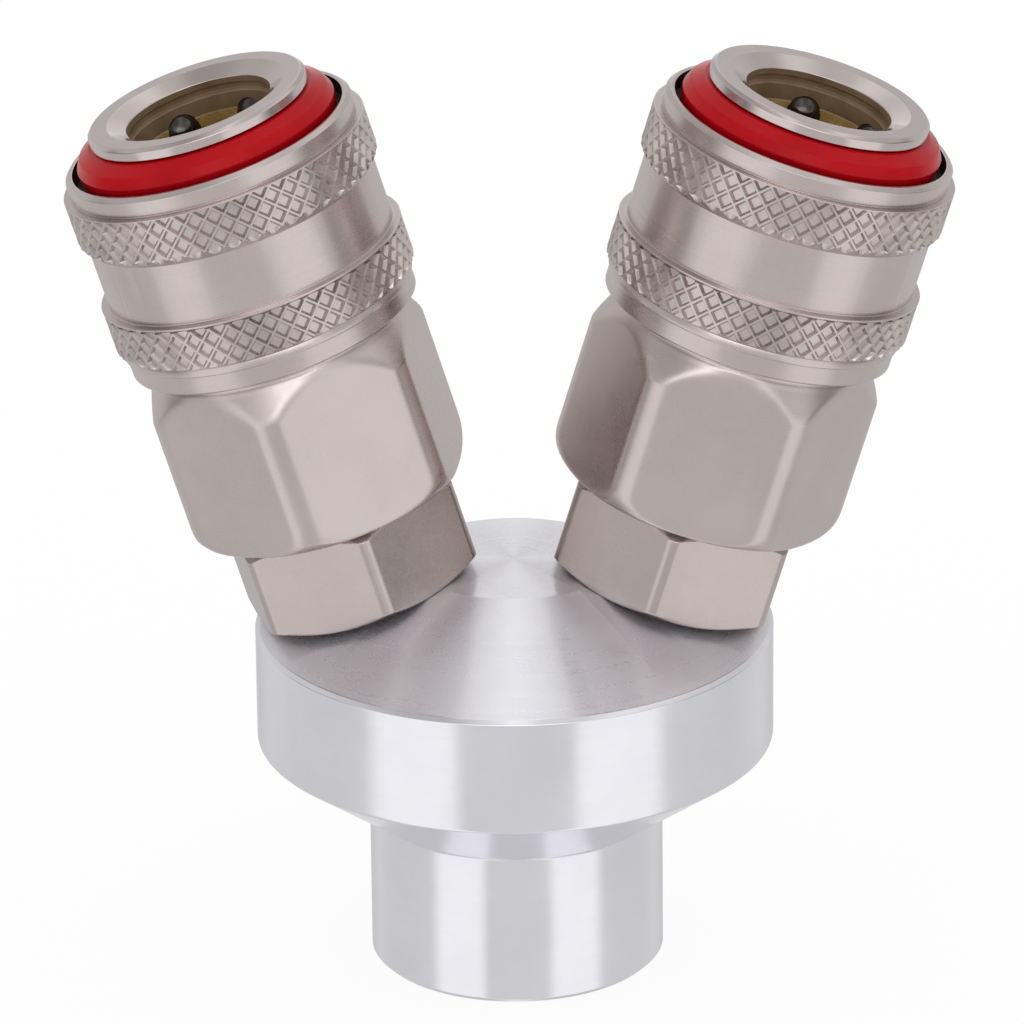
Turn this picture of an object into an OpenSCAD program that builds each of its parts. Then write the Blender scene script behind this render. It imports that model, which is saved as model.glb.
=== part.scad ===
// Two-outlet air manifold with a ball-locking quick coupler on each leaning outlet.
// Z is up, the origin is the centre of the manifold's base, X runs through both couplers.
// Along a coupler, s is the distance from the outlet's seat plane, measured up its axis.

/* [Manifold] */
// Radius of the round stem that holds the inlet thread
stem_r = 12.8; // [11.5:0.1:14]
// Height of the stem, up to the lower cone
stem_h = 13.7; // [12:0.1:16]
// Radius of the wide band
band_r = 22.5; // [21.5:0.1:25]
// Height at which the band starts, above the lower cone
band_z = 20.6; // [19.5:0.1:23]
// Height of the band
band_h = 10.25; // [9:0.05:12]
// Radius of the flat on top
crown_r = 9.2; // [7:0.1:10]
// Rise of the upper cone, from the band to the flat
crown_rise = 5.75; // [5.2:0.05:6.5]
// Broken edge on the band and the base
edge_break = 0.45; // [0.2:0.05:0.8]
// Radius of the threaded inlet hole, at the thread crests
inlet_r = 5.9; // [5:0.05:6.8]
// Depth of the inlet hole
inlet_depth = 14; // [12:0.5:16]
// Widening of the inlet hole at its mouth
inlet_countersink = 0.9; // [0.4:0.1:1.5]
// Radius of the air passages that join the inlet to the outlets
passage_r = 2.9; // [2:0.1:3.4]

/* [Outlets] */
// Lean of each outlet away from the vertical, in degrees
port_tilt = 17; // [14:0.5:20]
// Distance from the middle to the seat of each outlet
seat_x = 13.1; // [12.6:0.1:14.5]
// Lift of each seat above the cone
seat_lift = 0.1; // [0:0.05:0.5]
// Depth of the round spot face below the seat
spot_depth = 1.2; // [0.8:0.1:1.6]
// Depth of the threaded outlet hole below the spot face
port_depth = 9.8; // [8.5:0.1:11]

/* [Adapter] */
// Hexagon of the adapter, across its flats
adapter_hex = 19; // [17:0.5:20]
// Length of the adapter's hexagon
adapter_hex_l = 8; // [6:0.5:9]
// Flat width along each sharp edge of the hexagon
adapter_edge = 0.7; // [0.3:0.1:1.2]
// Turn of the left adapter's hexagon, in degrees
adapter_turn_left = 43.4; // [0:0.1:60]
// Turn of the right adapter's hexagon, in degrees
adapter_turn_right = 21.3; // [0:0.1:60]
// Radius of the thread in the manifold
tail_r = 6.5; // [5.5:0.1:7]
// Length of the thread in the manifold
tail_l = 9.5; // [7:0.5:9.5]
// Radius of the air bore
air_bore_r = 3.4; // [2.5:0.1:3.6]
// Thickness of the sealing washer
washer_t = 0.8; // [0.5:0.1:1]
// Width of the sealing washer around the thread
washer_rim = 1.1; // [0.8:0.1:1.4]
// Length of the thread in the coupler body
spigot_l = 6; // [5:0.5:6.5]

/* [Plug bore] */
// Radius of the bore that guides a 12 mm plug
plug_bore_r = 6.05; // [5.5:0.05:6.6]
// Depth of the plug's seat below the front face
plug_depth = 15.9; // [15:0.1:17]
// Widening of the bore at its mouth
mouth_step = 0.35; // [0.25:0.05:0.5]
// Widening of the bore around the balls
ball_room = 0.2; // [0.2:0.02:0.3]
// Step down to the bore that seals the plug's tip
tip_step = 0.45; // [0.3:0.05:0.6]
// Width of the ledge that stops the plug
stop_ledge = 1.05; // [0.8:0.05:1.2]

/* [Nose] */
// Wall of the tube around the bore
tube_wall = 2.9; // [2.7:0.05:3.2]
// Step from the tube out to the front flange
flange_step = 0.75; // [0.6:0.05:1]
// Thickness of the front flange
flange_t = 1.2; // [0.9:0.1:1.4]
// Wall of the tube around the valve
chamber_wall = 1.75; // [1.6:0.05:1.95]
// Length of the tube inside the coupler body
tube_engage = 6.2; // [5.8:0.1:6.6]

/* [Coupler body] */
// Wall between the tube and the outside of the body's neck
neck_wall = 2.25; // [2.1:0.05:2.5]
// Step from the neck out to the flats of the hexagon
body_step = 0.3; // [0.2:0.05:0.6]
// Rounding of the cast edges between the flats
body_edge_r = 2.3; // [1.2:0.1:3]
// Length of the hexagon, up to the cone
body_flat_l = 12.6; // [12:0.1:14]
// Rounding of the bottom of the body
body_foot_r = 2.6; // [1.5:0.1:3.5]
// Length of the neck above the cone
neck_l = 2.7; // [2.4:0.1:3.2]
// Turn of the left body's hexagon, in degrees
body_turn_left = 22.2; // [0:0.1:60]
// Turn of the right body's hexagon, in degrees
body_turn_right = 54.7; // [0:0.1:60]

/* [Ball lock] */
// Number of locking balls
ball_count = 6; // [6:1:6]
// How far a locked ball reaches into the bore
ball_sink = 0.84; // [0.7:0.02:0.9]
// Distance from the front face back to the ball row
ball_back = 4.5; // [4.4:0.05:4.6]
// Turn of the left ball row, in degrees
ball_turn_left = 54.3; // [0:0.1:60]
// Turn of the right ball row, in degrees
ball_turn_right = 30.7; // [0:0.1:60]

/* [Sleeve] */
// Wall of the sleeve over the neck
sleeve_wall = 1.47; // [1.3:0.01:1.8]
// Rise of the knurled bands over the plain part
knurl_rise = 0.65; // [0.45:0.05:0.9]
// Bevel at the ends of the knurled bands
knurl_bevel = 0.45; // [0.3:0.05:0.6]
// Distance from the rear edge to the rear knurl
rear_knurl_gap = 1.7; // [1:0.1:2.2]
// Length of the rear knurl
rear_knurl_l = 4.75; // [3.5:0.05:5]
// Distance from the front lip to the front knurl
front_knurl_gap = 1.75; // [1.2:0.05:2.4]
// Length of the front knurl
front_knurl_l = 4.3; // [3.5:0.05:5]
// Distance that the sleeve is pulled back
sleeve_travel = 2.4; // [2.2:0.05:2.4]
// Gap left behind the sleeve when it is pulled back
rear_gap = 0.43; // [0.3:0.01:0.6]
// Depth of the groove in the front that takes the ring's skirt
lip_depth = 1.45; // [1.3:0.05:1.6]

/* [Stop ring] */
// Width of the coloured ring around the tube
ring_w = 2.55; // [2.45:0.05:2.7]
// Thickness of the ring under the flange
ring_t = 1.25; // [1.15:0.05:1.35]
// Wall of the ring's skirt
skirt_t = 0.55; // [0.4:0.05:0.6]
// Gap between the skirt and the sleeve's lip
lip_gap = 0.55; // [0.4:0.05:0.65]
// Distance from the ring's hub back to the sleeve's lip
lip_back = 0.7; // [0.5:0.05:0.9]

/* [Valve and springs] */
// Distance that the valve is pushed back
valve_travel = 3.4; // [3:0.1:3.5]
// Gap around the valve's guide skirt inside the chamber
guide_gap = 0.8; // [0.7:0.05:1]
// Gap around the valve's tip inside its seat
tip_gap = 0.4; // [0.3:0.05:0.6]
// Wire thickness of the sleeve spring
sleeve_wire = 1; // [0.8:0.05:1.2]
// Turns of the sleeve spring
sleeve_turns = 6; // [5:1:8]
// Wire thickness of the valve spring
valve_wire = 0.7; // [0.5:0.05:0.8]
// Turns of the valve spring
valve_turns = 8; // [6:1:9]

/* [Clearances] */
// Running clearance between sliding round faces
running_gap = 0.08; // [0.04:0.01:0.1]
// Clearance between faces that rest on each other
rest_gap = 0.05; // [0.02:0.01:0.08]

/* [Hidden] */
$fn = 96;
overcut = 1;

// Manifold heights
band_top_z = band_z + band_h;
crown_z = band_top_z + crown_rise;
cone_run = band_r - edge_break - crown_r;
seat_z = crown_z - (seat_x - crown_r) * crown_rise / cone_run + seat_lift;
passage_reach = 3;
passage_l = (seat_z - inlet_depth + passage_reach) / cos(port_tilt);

// Adapter, along a coupler
spot_s = -spot_depth;
port_s = spot_s - port_depth;
washer_r = tail_r + washer_rim;
washer_room = 0.3;
collar_step = 0.2;
adapter_top_s = adapter_hex_l;
spigot_end_s = adapter_top_s + spigot_l;
spring_seat_r = air_bore_r + 1;
spring_seat_s = spigot_end_s - 2;

// Round sizes of the nose, from the bore outwards
tube_r = plug_bore_r + tube_wall;
flange_r = tube_r + flange_step;
mouth_r = plug_bore_r + mouth_step;
ball_room_r = plug_bore_r + ball_room;
tip_bore_r = plug_bore_r - tip_step;
seat_bore_r = plug_bore_r - stop_ledge;
chamber_r = tube_r - chamber_wall;
neck_r = tube_r + neck_wall;
ring_r = tube_r + ring_w;

// Coupler body, along its axis
cone_slope = 0.54;
body_hex = 2 * (neck_r + body_step);
body_corner_r = (body_hex / 2 - body_edge_r) / cos(30) + body_edge_r;
body_cone_s = adapter_top_s + body_flat_l;
neck_s = body_cone_s + (body_corner_r - neck_r) / cone_slope;
body_top_s = neck_s + neck_l;
tube_rear_s = body_top_s - tube_engage;
guide_r = chamber_r - guide_gap;
guide_s = spigot_end_s + 0.3;
spigot_r = guide_r + 1.5;

// Nose, along its axis
stop_wall = 3.7;
plug_stop_s = body_top_s + stop_wall;
nose_s = plug_stop_s + plug_depth;
flange_s = nose_s - flange_t;
ring_rear_s = flange_s - ring_t;
collar_s = ring_rear_s - rest_gap;
ball_s = nose_s - ball_back;
guide_rear_s = plug_stop_s + 4.1;
guide_step = 0.5;
mouth_groove_s = nose_s - 2.7;
mouth_groove_l = 0.95;
mouth_groove_r = mouth_r + 0.25;
mouth_chamfer = 1.5;
mouth_chamfer_l = 0.65;

// Seals: wire radius, and the groove that takes each of them
plug_seal_wire = 0.78;
plug_groove_depth = 1.4;
plug_groove_s = plug_stop_s + 1.1;
plug_groove_l = 1.8;
tube_seal_wire = 0.48;
tube_groove_depth = 0.97;
tube_groove_s = tube_rear_s + 2.3;
tube_groove_l = 1.4;
valve_seal_wire = 0.5;
valve_groove_depth = 0.48;
valve_groove_l = 1.2;

// Ball lock, seen in a plane through the axis
land_r = tube_r + running_gap;
ball_cover = 0.1;
ball_slack = 0.22;
ball_r = (land_r - ball_slack - plug_bore_r + ball_sink) / 2;
ball_travel = ball_sink + 0.12;
ball_axis_r = land_r - ball_slack - ball_r;
relief_r = ball_axis_r + ball_r + ball_travel + 0.14;
ramp_slope = 0.9;
land_end_s = ball_s + ball_cover;
land_s = land_end_s - ball_r - 0.85;
ramp_end_s = land_end_s + (relief_r - land_r) / ramp_slope;
ball_hole_gap = 0.06;
ball_seat_gap = 0.03;
ball_seat_angle = 30;
room_lead = 0.6;
guide_front_s = ball_s - ball_r - room_lead;

// Sleeve
pocket_r = neck_r + running_gap;
sleeve_r = pocket_r + sleeve_wall;
knurl_r = sleeve_r + knurl_rise;
lip_in_r = ring_r + lip_gap;
lip_edge = 0.35;
rear_edge = 0.2;
collar_edge = 0.15;
collar_r = ring_r - skirt_t - 0.15;
bevel_r = sleeve_r - lip_edge;
bevel_l = (bevel_r - pocket_r) / cone_slope;
sleeve_rear_s = body_cone_s + (body_corner_r - bevel_r) / cone_slope + sleeve_travel + rear_gap;
sleeve_lip_s = ring_rear_s - lip_back;
lip_floor_s = sleeve_lip_s - lip_depth;
rear_knurl_s = sleeve_rear_s + rear_knurl_gap;
waist_rear_s = rear_knurl_s + rear_knurl_l;
front_knurl_end_s = sleeve_lip_s - front_knurl_gap;
waist_front_s = front_knurl_end_s - front_knurl_l;
bead_l = 0.3;
bead_groove = 0.35;

// Valve
valve_drop = 1.6;
head_s = plug_stop_s - valve_drop;
seal_s = head_s - 1;
seal_ring_r = seat_bore_r + 0.52;
head_r = seal_ring_r - 0.02;
cone_sum = seal_ring_r + seal_s + sqrt(2) * (valve_seal_wire + 0.03);
web_t = 1.8;
web_s = head_s - 3;
tip_r = seat_bore_r - tip_gap;
tip_wall = 1.1;
tip_end_s = plug_stop_s + valve_travel - 0.1;
skirt_s = spigot_end_s + valve_travel + 0.3;
skirt_end_s = tube_rear_s + valve_drop;
spring_mean_r = air_bore_r + 0.2;
skirt_bore_r = spring_mean_r + valve_wire / 2 + 0.35;
window_w = 3;
lower_window_l = 2.2;
upper_window_l = 1.8;
window_gap = 0.5;

left = -1;
right = 1;

// Puts a shape, drawn along Z from the seat plane, on one of the two outlets.
module on_outlet(side) {
    translate([side * seat_x, 0, seat_z]) rotate([0, side * port_tilt, 0]) children();
}

// Turns a profile of [radius, height] points about the axis.
module turned(points) {
    rotate_extrude() polygon(points);
}

// Straight round hole or rod between two heights.
module rod(r, from_s, to_s) {
    translate([0, 0, from_s]) cylinder(r = r, h = to_s - from_s);
}

// Round seal of round section.
module o_ring(mean_r, section_r) {
    rotate_extrude() translate([mean_r, 0]) circle(r = section_r, $fn = 32);
}

// Outline of a hexagon whose corners are rounded, as a ring of points.
function round_hex(flats, edge_r, steps) = [
    for (corner = [0 : 5]) for (i = [0 : steps])
        let (mid = 60 * corner, a = mid - 30 + 60 * i / steps, reach = (flats / 2 - edge_r) / cos(30))
        [reach * cos(mid) + edge_r * cos(a), reach * sin(mid) + edge_r * sin(a)]
];

// Outline of a hexagon whose corners are cut flat.
function cut_hex(flats, cut) = [
    for (corner = [0 : 5]) for (way = [-1, 1])
        let (corner_r = flats / 2 / cos(30), reach = corner_r - cut / 2 * tan(30))
        [reach * cos(60 * corner) - way * cut / 2 * sin(60 * corner),
         reach * sin(60 * corner) + way * cut / 2 * cos(60 * corner)]
];

// Coil whose first and last turns lie flat: radius and height of the wire's middle at turn t.
function coil_rise(t, turns, wire, length) =
    let (lead = wire * 1.05, free = length - wire - 2 * lead)
    t < 1 ? wire / 2 + lead * t :
    t > turns - 1 ? length - wire / 2 - lead * (turns - t) :
    wire / 2 + lead + free * (t - 1) / (turns - 2);

// Wire coil from one height to another.
module coil(mean_r, wire, turns, from_s, to_s, sides = 6, steps = 14) {
    rings = turns * steps;
    points = [
        for (i = [0 : rings]) for (k = [0 : sides - 1])
            let (t = i / steps, a = 360 * t, b = 360 * k / sides)
            [(mean_r + wire / 2 * cos(b)) * cos(a), (mean_r + wire / 2 * cos(b)) * sin(a),
             from_s + coil_rise(t, turns, wire, to_s - from_s) + wire / 2 * sin(b)]
    ];
    walls = [
        for (i = [0 : rings - 1]) for (k = [0 : sides - 1])
            let (n = (k + 1) % sides)
            [i * sides + k, i * sides + n, (i + 1) * sides + n, (i + 1) * sides + k]
    ];
    start = [[for (k = [sides - 1 : -1 : 0]) k]];
    finish = [[for (k = [0 : sides - 1]) rings * sides + k]];
    polyhedron(points = points, faces = concat(walls, start, finish), convexity = 10);
}

// Turned aluminium block with one inlet below and two leaning outlets above.
module manifold_body() {
    color([0.9, 0.9, 0.92]) difference() {
        turned([
            [0, 0], [stem_r - edge_break, 0], [stem_r, edge_break], [stem_r, stem_h],
            [band_r, band_z], [band_r, band_top_z - edge_break], [band_r - edge_break, band_top_z],
            [crown_r, crown_z], [0, crown_z]
        ]);
        rod(inlet_r, -overcut, inlet_depth);
        translate([0, 0, -overcut])
            cylinder(r1 = inlet_r + inlet_countersink + overcut, r2 = inlet_r, h = inlet_countersink + overcut);
        for (side = [left, right]) on_outlet(side) {
            rod(washer_r + washer_room, spot_s, adapter_top_s);
            rod(tail_r + rest_gap, port_s, 0);
            rod(passage_r, -passage_l, 0);
        }
    }
}

// Hexagon adapter with a thread at each end, an air bore and a seat for the valve spring.
module adapter(side, turn) {
    corner_r = adapter_hex / 2 / cos(30);
    chamfer_r = adapter_hex / 2 - 0.15;
    drop = (corner_r - chamfer_r) * tan(30);
    color([0.69, 0.65, 0.63]) on_outlet(side) difference() {
        union() {
            intersection() {
                rotate([0, 0, turn]) linear_extrude(adapter_hex_l) polygon(cut_hex(adapter_hex, adapter_edge));
                turned([
                    [0, 0], [chamfer_r, 0], [corner_r, drop],
                    [corner_r, adapter_top_s - drop], [chamfer_r, adapter_top_s],
                    [0, adapter_top_s]
                ]);
            }
            rod(washer_r - collar_step, spot_s + washer_t, overcut);
            rod(tail_r, spot_s - tail_l, overcut);
            rod(spigot_r, adapter_top_s - overcut, spigot_end_s);
        }
        rod(air_bore_r, spot_s - tail_l - overcut, spigot_end_s + overcut);
        rod(spring_seat_r, spring_seat_s, spigot_end_s + overcut);
    }
}

// Flat sealing washer between the adapter's collar and the manifold.
module adapter_washer(side) {
    color([0.13, 0.12, 0.12]) on_outlet(side) difference() {
        rod(washer_r, spot_s, spot_s + washer_t);
        rod(tail_r + 0.2, spot_s - overcut, spot_s + washer_t + overcut);
    }
}

// Cast body: a hexagon with soft edges, round at the foot and turned to a cone at the top.
module hex_body(side, turn) {
    foot_steps = 5;
    foot_in_r = body_corner_r - body_foot_r * 0.75;
    foot = [
        for (i = [0 : foot_steps])
            let (a = 90 * i / foot_steps)
            [foot_in_r + (body_corner_r - foot_in_r) * sin(a),
             adapter_top_s + body_foot_r * (1 - cos(a))]
    ];
    core_r = neck_r - 2;
    color([0.69, 0.65, 0.63]) on_outlet(side) difference() {
        union() {
            intersection() {
                rotate([0, 0, turn]) translate([0, 0, adapter_top_s])
                    linear_extrude(neck_s - adapter_top_s + overcut)
                        polygon(round_hex(body_hex, body_edge_r, 6));
                turned(concat(
                    [[0, adapter_top_s]], foot,
                    [[body_corner_r, body_cone_s], [neck_r, neck_s], [0, neck_s]]
                ));
            }
            turned([
                [0, adapter_top_s + 3], [core_r, adapter_top_s + 3], [core_r, neck_s - 2],
                [neck_r, neck_s - 1], [neck_r, body_top_s - 0.3], [neck_r - 0.3, body_top_s],
                [0, body_top_s]
            ]);
        }
        rod(spigot_r + rest_gap, adapter_top_s - overcut, guide_s);
        rod(guide_r + running_gap, guide_s - overcut, tube_rear_s + overcut);
        rod(tube_r + rest_gap, tube_rear_s, body_top_s + overcut);
    }
}

// Round seal between the nose tube and the coupler body.
module tube_seal(side) {
    color([0.1, 0.1, 0.1]) on_outlet(side) translate([0, 0, tube_groove_s + tube_groove_l / 2])
        o_ring(tube_r - tube_seal_wire + 0.01, tube_seal_wire);
}

// Front tube: flange, plug bore, ball holes, plug seal groove and valve seat in one turned piece.
module nose_tube(side, turn) {
    color([0.72, 0.69, 0.67]) on_outlet(side) difference() {
        turned([
            [0, tube_rear_s], [tube_r, tube_rear_s], [tube_r, flange_s], [flange_r - 0.15, flange_s],
            [flange_r, flange_s + 0.15], [flange_r, nose_s - 0.3], [flange_r - 0.3, nose_s], [0, nose_s]
        ]);
        turned([
            [0, plug_stop_s], [tip_bore_r, plug_stop_s], [tip_bore_r, guide_rear_s - guide_step],
            [plug_bore_r, guide_rear_s], [plug_bore_r, guide_front_s],
            [ball_room_r, guide_front_s + 0.1], [ball_room_r, mouth_groove_s - 0.2],
            [mouth_groove_r, mouth_groove_s], [mouth_groove_r, mouth_groove_s + mouth_groove_l],
            [mouth_r, mouth_groove_s + mouth_groove_l + 0.15], [mouth_r, nose_s - mouth_chamfer_l],
            [mouth_r + mouth_chamfer, nose_s], [mouth_r + mouth_chamfer, nose_s + overcut],
            [0, nose_s + overcut]
        ]);
        turned([
            [0, tube_rear_s - overcut], [chamber_r, tube_rear_s - overcut],
            [chamber_r, cone_sum - chamber_r], [seat_bore_r, cone_sum - seat_bore_r],
            [seat_bore_r, plug_stop_s + overcut], [0, plug_stop_s + overcut]
        ]);
        rod(tip_bore_r + plug_groove_depth, plug_groove_s, plug_groove_s + plug_groove_l);
        difference() {
            rod(tube_r + overcut, tube_groove_s, tube_groove_s + tube_groove_l);
            rod(tube_r - tube_groove_depth, tube_rear_s, body_top_s);
        }
        for (i = [0 : ball_count - 1])
            rotate([0, 0, turn + 360 / ball_count * i]) translate([0, 0, ball_s]) ball_hole();
    }
}

// Radial hole that narrows at the bore, so that its ball shows but can't fall in.
module ball_hole() {
    hole_r = ball_r + ball_hole_gap;
    touch_r = ball_r * cos(ball_seat_angle) + ball_seat_gap;
    touch_x = ball_axis_r - ball_r * sin(ball_seat_angle);
    inner_x = plug_bore_r - 0.5;
    inner_r = touch_r - (touch_x - inner_x) * tan(ball_seat_angle);
    outer_x = touch_x + (hole_r - touch_r) / tan(ball_seat_angle);
    rotate([0, 90, 0]) {
        translate([0, 0, inner_x]) cylinder(r1 = inner_r, r2 = hole_r, h = outer_x - inner_x);
        rod(hole_r, outer_x, tube_r + overcut);
    }
}

// One steel ball of the lock, sunk into the bore as far as its hole lets it.
module lock_ball(side, turn, number) {
    color([0.8, 0.8, 0.82]) on_outlet(side)
        rotate([0, 0, turn + 360 / ball_count * (number - 1)])
            translate([ball_axis_r, 0, ball_s]) sphere(r = ball_r, $fn = 48);
}

// Coloured ring behind the flange: it stops the sleeve and its skirt keeps dust out.
module stop_ring(side) {
    skirt_end_s = lip_floor_s + 0.4;
    color([0.75, 0.06, 0.08]) on_outlet(side) turned([
        [tube_r + rest_gap, ring_rear_s], [tube_r + rest_gap, flange_s - rest_gap],
        [flange_r - 0.2, flange_s - rest_gap], [flange_r + 0.35, flange_s - 0.14],
        [ring_r - 0.5, ring_rear_s + 0.42], [ring_r - 0.12, ring_rear_s + 0.1],
        [ring_r, ring_rear_s - 0.2], [ring_r, ring_rear_s - 0.5],
        [ring_r - 0.2, skirt_end_s], [ring_r - skirt_t, skirt_end_s],
        [ring_r - skirt_t, ring_rear_s]
    ]);
}

// Knurled sleeve: its land holds the balls in, and its ramp and relief let them out.
module sleeve(side) {
    bead_s = waist_rear_s - bead_l;
    color([0.69, 0.65, 0.63]) on_outlet(side) turned([
        [bevel_r, sleeve_rear_s], [sleeve_r - rear_edge, sleeve_rear_s],
        [sleeve_r, sleeve_rear_s + rear_edge], [sleeve_r, rear_knurl_s - knurl_bevel / 2],
        [knurl_r, rear_knurl_s + knurl_bevel / 2], [knurl_r, bead_s - bead_groove],
        [knurl_r - bead_groove, bead_s - bead_groove + 0.1], [knurl_r - bead_groove, bead_s - 0.08],
        [knurl_r + 0.04, bead_s + 0.02], [knurl_r + 0.04, waist_rear_s - 0.1],
        [knurl_r - 0.2, waist_rear_s + 0.1], [sleeve_r, waist_rear_s + knurl_rise],
        [sleeve_r, waist_front_s], [knurl_r, waist_front_s + knurl_bevel],
        [knurl_r, front_knurl_end_s - knurl_bevel], [sleeve_r, front_knurl_end_s],
        [sleeve_r, sleeve_lip_s - lip_edge], [sleeve_r - lip_edge, sleeve_lip_s],
        [lip_in_r, sleeve_lip_s], [lip_in_r, lip_floor_s], [collar_r, lip_floor_s],
        [collar_r, collar_s - collar_edge], [collar_r - collar_edge, collar_s], [relief_r, collar_s],
        [relief_r, ramp_end_s], [land_r, land_end_s], [land_r, land_s], [pocket_r, land_s],
        [pocket_r, sleeve_rear_s + bevel_l]
    ]);
}

// Spring that pushes the sleeve forward, between the body's end and the sleeve's land.
module sleeve_spring(side) {
    color([0.6, 0.6, 0.62]) on_outlet(side)
        coil((tube_r + pocket_r) / 2, sleeve_wire, sleeve_turns, body_top_s + rest_gap, land_s - rest_gap);
}

// Seal around the tip of the plug.
module plug_seal(side) {
    color([0.1, 0.1, 0.1]) on_outlet(side) translate([0, 0, plug_groove_s + plug_groove_l / 2])
        o_ring(tip_bore_r + plug_groove_depth - plug_seal_wire - 0.02, plug_seal_wire);
}

// Valve: guide skirt, windows for the air, solid web with its seal groove, and the tip that the plug pushes.
module valve_poppet(side) {
    groove_s = seal_s - valve_groove_l / 2;
    color([0.78, 0.66, 0.36]) on_outlet(side) difference() {
        turned([
            [0, skirt_s], [guide_r, skirt_s], [guide_r, skirt_end_s], [head_r, skirt_end_s + 0.5],
            [head_r, groove_s], [head_r - valve_groove_depth, groove_s],
            [head_r - valve_groove_depth, groove_s + valve_groove_l],
            [head_r - 0.1, groove_s + valve_groove_l], [tip_r, head_s], [tip_r, tip_end_s], [0, tip_end_s]
        ]);
        rod(skirt_bore_r, skirt_s - overcut, web_s);
        rod(tip_r - tip_wall, web_s + web_t, tip_end_s + overcut);
        for (a = [0, 90]) rotate([0, 0, a]) {
            window(skirt_end_s + window_gap + 0.1, lower_window_l);
            window(head_s + window_gap, upper_window_l);
        }
    }
}

// Opening right through the valve from one side to the other.
module window(from_s, length) {
    translate([-chamber_r, -window_w / 2, from_s]) cube([2 * chamber_r, window_w, length]);
}

// Seal on the valve's head, which closes on the cone of the nose tube.
module valve_seal(side) {
    color([0.1, 0.1, 0.1]) on_outlet(side) translate([0, 0, seal_s])
        o_ring(seal_ring_r, valve_seal_wire - 0.01);
}

// Spring that closes the valve, between the adapter's counterbore and the valve's web.
module valve_spring(side) {
    color([0.6, 0.6, 0.62]) on_outlet(side)
        coil(spring_mean_r, valve_wire, valve_turns, spring_seat_s + rest_gap, web_s - rest_gap);
}

manifold_body();

adapter(left, adapter_turn_left);  // left_adapter
adapter_washer(left);  // left_adapter_washer
hex_body(left, body_turn_left);  // left_hex_body
tube_seal(left);  // left_tube_seal
nose_tube(left, ball_turn_left);  // left_nose_tube
stop_ring(left);  // left_stop_ring
sleeve(left);  // left_sleeve
sleeve_spring(left);  // left_sleeve_spring
plug_seal(left);  // left_plug_seal
valve_poppet(left);  // left_valve_poppet
valve_seal(left);  // left_valve_seal
valve_spring(left);  // left_valve_spring
lock_ball(left, ball_turn_left, 1);  // left_lock_ball_1
lock_ball(left, ball_turn_left, 2);  // left_lock_ball_2
lock_ball(left, ball_turn_left, 3);  // left_lock_ball_3
lock_ball(left, ball_turn_left, 4);  // left_lock_ball_4
lock_ball(left, ball_turn_left, 5);  // left_lock_ball_5
lock_ball(left, ball_turn_left, 6);  // left_lock_ball_6

adapter(right, adapter_turn_right);  // right_adapter
adapter_washer(right);  // right_adapter_washer
hex_body(right, body_turn_right);  // right_hex_body
tube_seal(right);  // right_tube_seal
nose_tube(right, ball_turn_right);  // right_nose_tube
stop_ring(right);  // right_stop_ring
sleeve(right);  // right_sleeve
sleeve_spring(right);  // right_sleeve_spring
plug_seal(right);  // right_plug_seal
valve_poppet(right);  // right_valve_poppet
valve_seal(right);  // right_valve_seal
valve_spring(right);  // right_valve_spring
lock_ball(right, ball_turn_right, 1);  // right_lock_ball_1
lock_ball(right, ball_turn_right, 2);  // right_lock_ball_2
lock_ball(right, ball_turn_right, 3);  // right_lock_ball_3
lock_ball(right, ball_turn_right, 4);  // right_lock_ball_4
lock_ball(right, ball_turn_right, 5);  // right_lock_ball_5
lock_ball(right, ball_turn_right, 6);  // right_lock_ball_6
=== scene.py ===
import math

import bmesh
import bpy
import numpy as np
from mathutils import Matrix, Vector


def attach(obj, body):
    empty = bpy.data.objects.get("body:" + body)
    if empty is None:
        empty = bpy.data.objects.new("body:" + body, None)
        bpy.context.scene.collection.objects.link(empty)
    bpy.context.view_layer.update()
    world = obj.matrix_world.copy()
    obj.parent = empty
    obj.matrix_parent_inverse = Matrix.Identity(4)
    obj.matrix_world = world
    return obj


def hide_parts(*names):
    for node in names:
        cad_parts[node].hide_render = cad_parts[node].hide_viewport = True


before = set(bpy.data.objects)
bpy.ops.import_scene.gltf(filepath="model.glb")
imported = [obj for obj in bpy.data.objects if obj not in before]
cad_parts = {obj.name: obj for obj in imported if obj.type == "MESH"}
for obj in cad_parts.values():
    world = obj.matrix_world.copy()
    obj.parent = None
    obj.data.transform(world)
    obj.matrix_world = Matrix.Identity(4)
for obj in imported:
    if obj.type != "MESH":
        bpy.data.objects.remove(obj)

MM = 0.001
FULL_TURN = 2 * math.pi
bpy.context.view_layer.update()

# Longest fillet as a share of a profile's edge, distance of its support points, and angles of sharp edges
FILLET_SHARE = 0.42
SUPPORT = 0.08
CUT_CREASE = math.radians(35)
FORM_CREASE = math.radians(50)

# Sizes are in millimetres, as in the CAD source. R is a radius and S is a height along a coupler's axis.
SIDES = {"left": -1, "right": 1}
TILT = math.radians(17)
SEAT_X = 13.1
SEAT_Z = 34.955

# Manifold
STEM_R = 12.8
STEM_TOP = 13.7
STEM_EDGE = 0.45
BAND_R = 22.5
BAND_FOOT = 20.6
BAND_TOP = 30.85
BAND_EDGE = 0.3
CROWN_R = 9.2
CROWN_TOP = 36.6
CENTRE_R = 0.4
INLET_R = 5.9
INLET_DEPTH = 14.0
INLET_SINK = 0.9
THREAD_PITCH = 1.337
THREAD_DEPTH = 0.72
THREAD_STEP = 0.12
THREAD_RUNOUT = 0.8
THREAD_FLAT = 0.15
THREAD_FLANK = 0.7
THREAD_FADE_IN = 0.8
THREAD_FADE_OUT = 1.5
PASSAGE_R = 2.9
PASSAGE_S = -25.0
PORT_S = -11.0
PORT_R = 6.55
SPOT_S = -1.2
SPOT_R = 7.9
RECESS_R = 11.115
CUT_TOP_S = 8
CUT_OVERLAP = 0.3
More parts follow.
